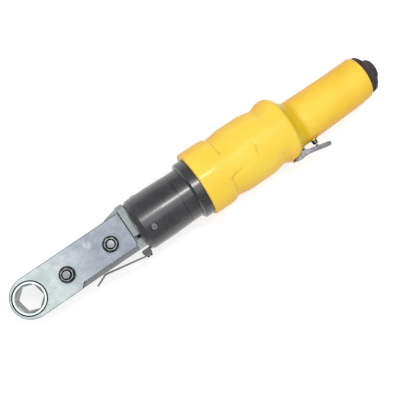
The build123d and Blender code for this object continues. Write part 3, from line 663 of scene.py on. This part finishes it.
def clamp_bolt(x, y, washer, turn):
    tip = PLATE_TOP + washer + NUT_HEIGHT + BOLT_END
    turned = math.radians(turn)

    def thread(z, angle):
        phase = (z / THREAD_PITCH + angle / math.tau) % 1
        cone = 4.9 - (z - tip + 1.2) * 0.9
        return min(THREAD_RADIUS, cone) - THREAD_DEPTH * abs(2 * phase - 1)

    def head(z, angle):
        return min(hexagon_radius(angle, turned), HEAD_CORNER + CHAMFER_SLOPE * (z - BOLT_HEAD))

    rings = [(BOLT_HEAD, 4.0), (BOLT_HEAD, 6.3)]
    rings += [(z, head) for z in run(-20.2, -15.1, 0.5)]
    rings += [(PLATE_BOTTOM, HEAD_CORNER), (PLATE_BOTTOM, BOLT_RADIUS), (SHANK_TOP, BOLT_RADIUS)]
    rings += [(z, thread) for z in run(PLATE_TOP, tip - 0.1, 0.16)]
    rings += [(tip, BOLT_TIP_RADIUS)]
    bm = skin(rings, 72, upright(x, y))
    piece(f"clamp_bolt_{round(x)}", bm, "housing", "bolt_steel", "clamp_bolts", sharp=32)


# ---------------------------------------------------------------- throttle lever
LEVER_HALF_WIDTH = 7.0
LEVER_INSIDE_HALF = 4.9
LEVER_ROUNDING = 0.7
LEVER_SIDE = (
    (292.4, -35.4), (298.6, -36.9), (304, -36.5), (309.5, -36.3), (331.8, -41.25), (333.4, -40.95),
    (334.3, -39.6), (334.1, -37.7), (333.0, -36.7), (309.5, -31.5), (308.0, -30.4), (307.6, -27.3),
    (306.3, -26.0), (303.7, -26.0), (302.4, -27.3), (302.0, -31.7), (299.6, -32.5), (293.0, -33.5),
)
LEVER_INSIDE = (
    (280, -31.4), (292.2, -33.8), (299, -35.2), (304, -34.6), (309, -34.4), (340, -41.2),
    (340, -20), (280, -20),
)
PAD_HALF_WIDTH = 2.4
PAD_RADIUS = 1.2
PAD_Y = -33.7
PAD_ROOT = -38.4
PAD_ARC = (-0.58, 3.72)


def prism(points, half_width, rounding=0.0):
    """A side outline in XY made solid across Z, with the outline's edges rounded if asked."""
    bm = bmesh.new()
    face = bm.faces.new([bm.verts.new((mm(x), mm(y), mm(-half_width))) for x, y in points])
    moved = bmesh.ops.extrude_face_region(bm, geom=[face])
    for vert in (item for item in moved["geom"] if isinstance(item, bmesh.types.BMVert)):
        vert.co.z = mm(half_width)
    bmesh.ops.recalc_face_normals(bm, faces=bm.faces)
    if rounding:
        rims = [edge for edge in bm.edges if abs(edge.verts[0].co.z - edge.verts[1].co.z) < 1e-6]
        bmesh.ops.bevel(bm, geom=rims, offset=mm(rounding), segments=3, affect="EDGES", profile=0.6)
    return bm


def lever():
    outline = prism(LEVER_SIDE, LEVER_HALF_WIDTH, LEVER_ROUNDING)
    made = piece("throttle_lever_pressed", outline, "throttle_lever", "lever_steel", "throttle_lever")
    carve(made, loose(prism(LEVER_INSIDE, LEVER_INSIDE_HALF)))


def lever_pad():
    """The rounded pad inside the lever that pushes the valve's plunger."""
    crown = []
    for angle in run(*PAD_ARC, 0.3):
        crown.append((VALVE_X + PAD_RADIUS * math.cos(angle), PAD_Y + PAD_RADIUS * math.sin(angle)))
    outline = prism([(VALVE_X + 1, PAD_ROOT), *crown, (VALVE_X - 1, PAD_ROOT)], PAD_HALF_WIDTH)
    piece("throttle_lever_pad", outline, "throttle_lever", "lever_steel", "throttle_lever")


# ---------------------------------------------------------------- valve spring
SPRING_RADIUS = 2.4
SPRING_WIRE = 0.35
SPRING_PITCH = 1.3
SPRING_HEIGHT = 3.7
SPRING_FOOT = 9.5


def valve_spring():
    """The coil behind the valve ball, built at one fixed length; the real coil shortens as the plunger goes
    in.
    """
    def wire(turn, angle):
        around = math.tau * turn
        reach = SPRING_RADIUS + SPRING_WIRE * math.cos(angle)
        height = SPRING_FOOT + SPRING_PITCH * turn + SPRING_WIRE * math.sin(angle)
        return Vector((mm(VALVE_X + reach * math.cos(around)), mm(height), mm(reach * math.sin(around))))

    turns = run(0, SPRING_HEIGHT / SPRING_PITCH, 0.03)
    made = piece("valve_spring_coil", skin(turns, 12, wire), "housing", "spring_steel", "valve_spring")
    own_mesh(made)


motor_cover()
handle_grip()
valve_spring()
for place in BOLT_PLACES:
    clamp_nut(*place)
    clamp_bolt(*place)
lever()
lever_pad()


# ---------------------------------------------------------------- stage, light and camera
FLOOR_DROP = 0.0002
FLOOR_GLOW = 0.68


def floor():
    """A white sheet just under the tool, which glows a little so that it stays white."""
    bm = bmesh.new()
    bmesh.ops.create_grid(bm, x_segments=1, y_segments=1, size=6)
    mesh = bpy.data.meshes.new("floor")
    bm.to_mesh(mesh)
    bm.free()
    obj = bpy.data.objects.new("floor", mesh)
    obj.location = (0, 0, cad_box[0][2] - FLOOR_DROP)
    bpy.context.scene.collection.objects.link(obj)
    look = Look("floor_look", specular=0.1)
    tone = look.ramp(look.noise(3, detail=2), (0.4, (0.41, 0.41, 0.41)), (0.6, (0.43, 0.43, 0.43)))
    look.shader.inputs["Emission Color"].default_value = (*WHITE, 1)
    look.shader.inputs["Emission Strength"].default_value = FLOOR_GLOW
    mesh.materials.append(look.finish(tone, look.span(look.noise(5), 0.9, 0.95)))


def softbox(name, place, target, size, power):
    lamp = bpy.data.lights.new(name, "AREA")
    lamp.shape = "RECTANGLE"
    lamp.size, lamp.size_y = size
    lamp.energy = power
    obj = bpy.data.objects.new(name, lamp)
    obj.location = place
    obj.rotation_euler = (Vector(target) - Vector(place)).to_track_quat("-Z", "Y").to_euler()
    bpy.context.scene.collection.objects.link(obj)


def world(strength):
    made = bpy.data.worlds.new("studio")
    made.use_nodes = True
    background = made.node_tree.nodes["Background"]
    background.inputs["Color"].default_value = (*WHITE, 1)
    background.inputs["Strength"].default_value = strength
    bpy.context.scene.world = made


CAMERA_PLACE = Vector((mm(89.7), mm(-12.8), mm(729.9)))
CAMERA_LENS = 66.15
CAMERA_TILT = 7.8
CAMERA_RISE = 0.559
CAMERA_RUN = 0.829


def camera():
    """Above the tool and a little towards its head, turned so that the tool lies across the picture."""
    data = bpy.data.cameras.new("camera")
    data.lens = CAMERA_LENS
    data.sensor_width = 36
    obj = bpy.data.objects.new("camera", data)
    tilt = math.radians(CAMERA_TILT)
    turn = math.atan2(CAMERA_RISE, CAMERA_RUN)
    along = Vector((math.cos(tilt), 0, math.sin(tilt)))
    across = Vector((-0.0023, -1, 0))
    right = along * math.cos(turn) + across * math.sin(turn)
    up = along * math.sin(turn) - across * math.cos(turn)
    back = right.cross(up)
    turned = Matrix((right, up, back)).transposed().to_4x4()
    obj.matrix_world = Matrix.Translation(CAMERA_PLACE) @ turned
    bpy.context.scene.collection.objects.link(obj)
    bpy.context.scene.camera = obj


floor()
softbox("overhead", place=(0.2, 0.1, 1.9), target=(0.2, 0, 0), size=(2.2, 1.8), power=17)
softbox("streak", place=(0.40, 0.31, 1.6), target=(0.18, 0, 0), size=(0.26, 0.16), power=5.5)
softbox("head_light", place=(-0.35, 0.05, 1.5), target=(0, 0, 0), size=(0.4, 0.5), power=1.0)
world(strength=0.50)
camera()
bpy.context.scene.view_settings.view_transform = "Standard"
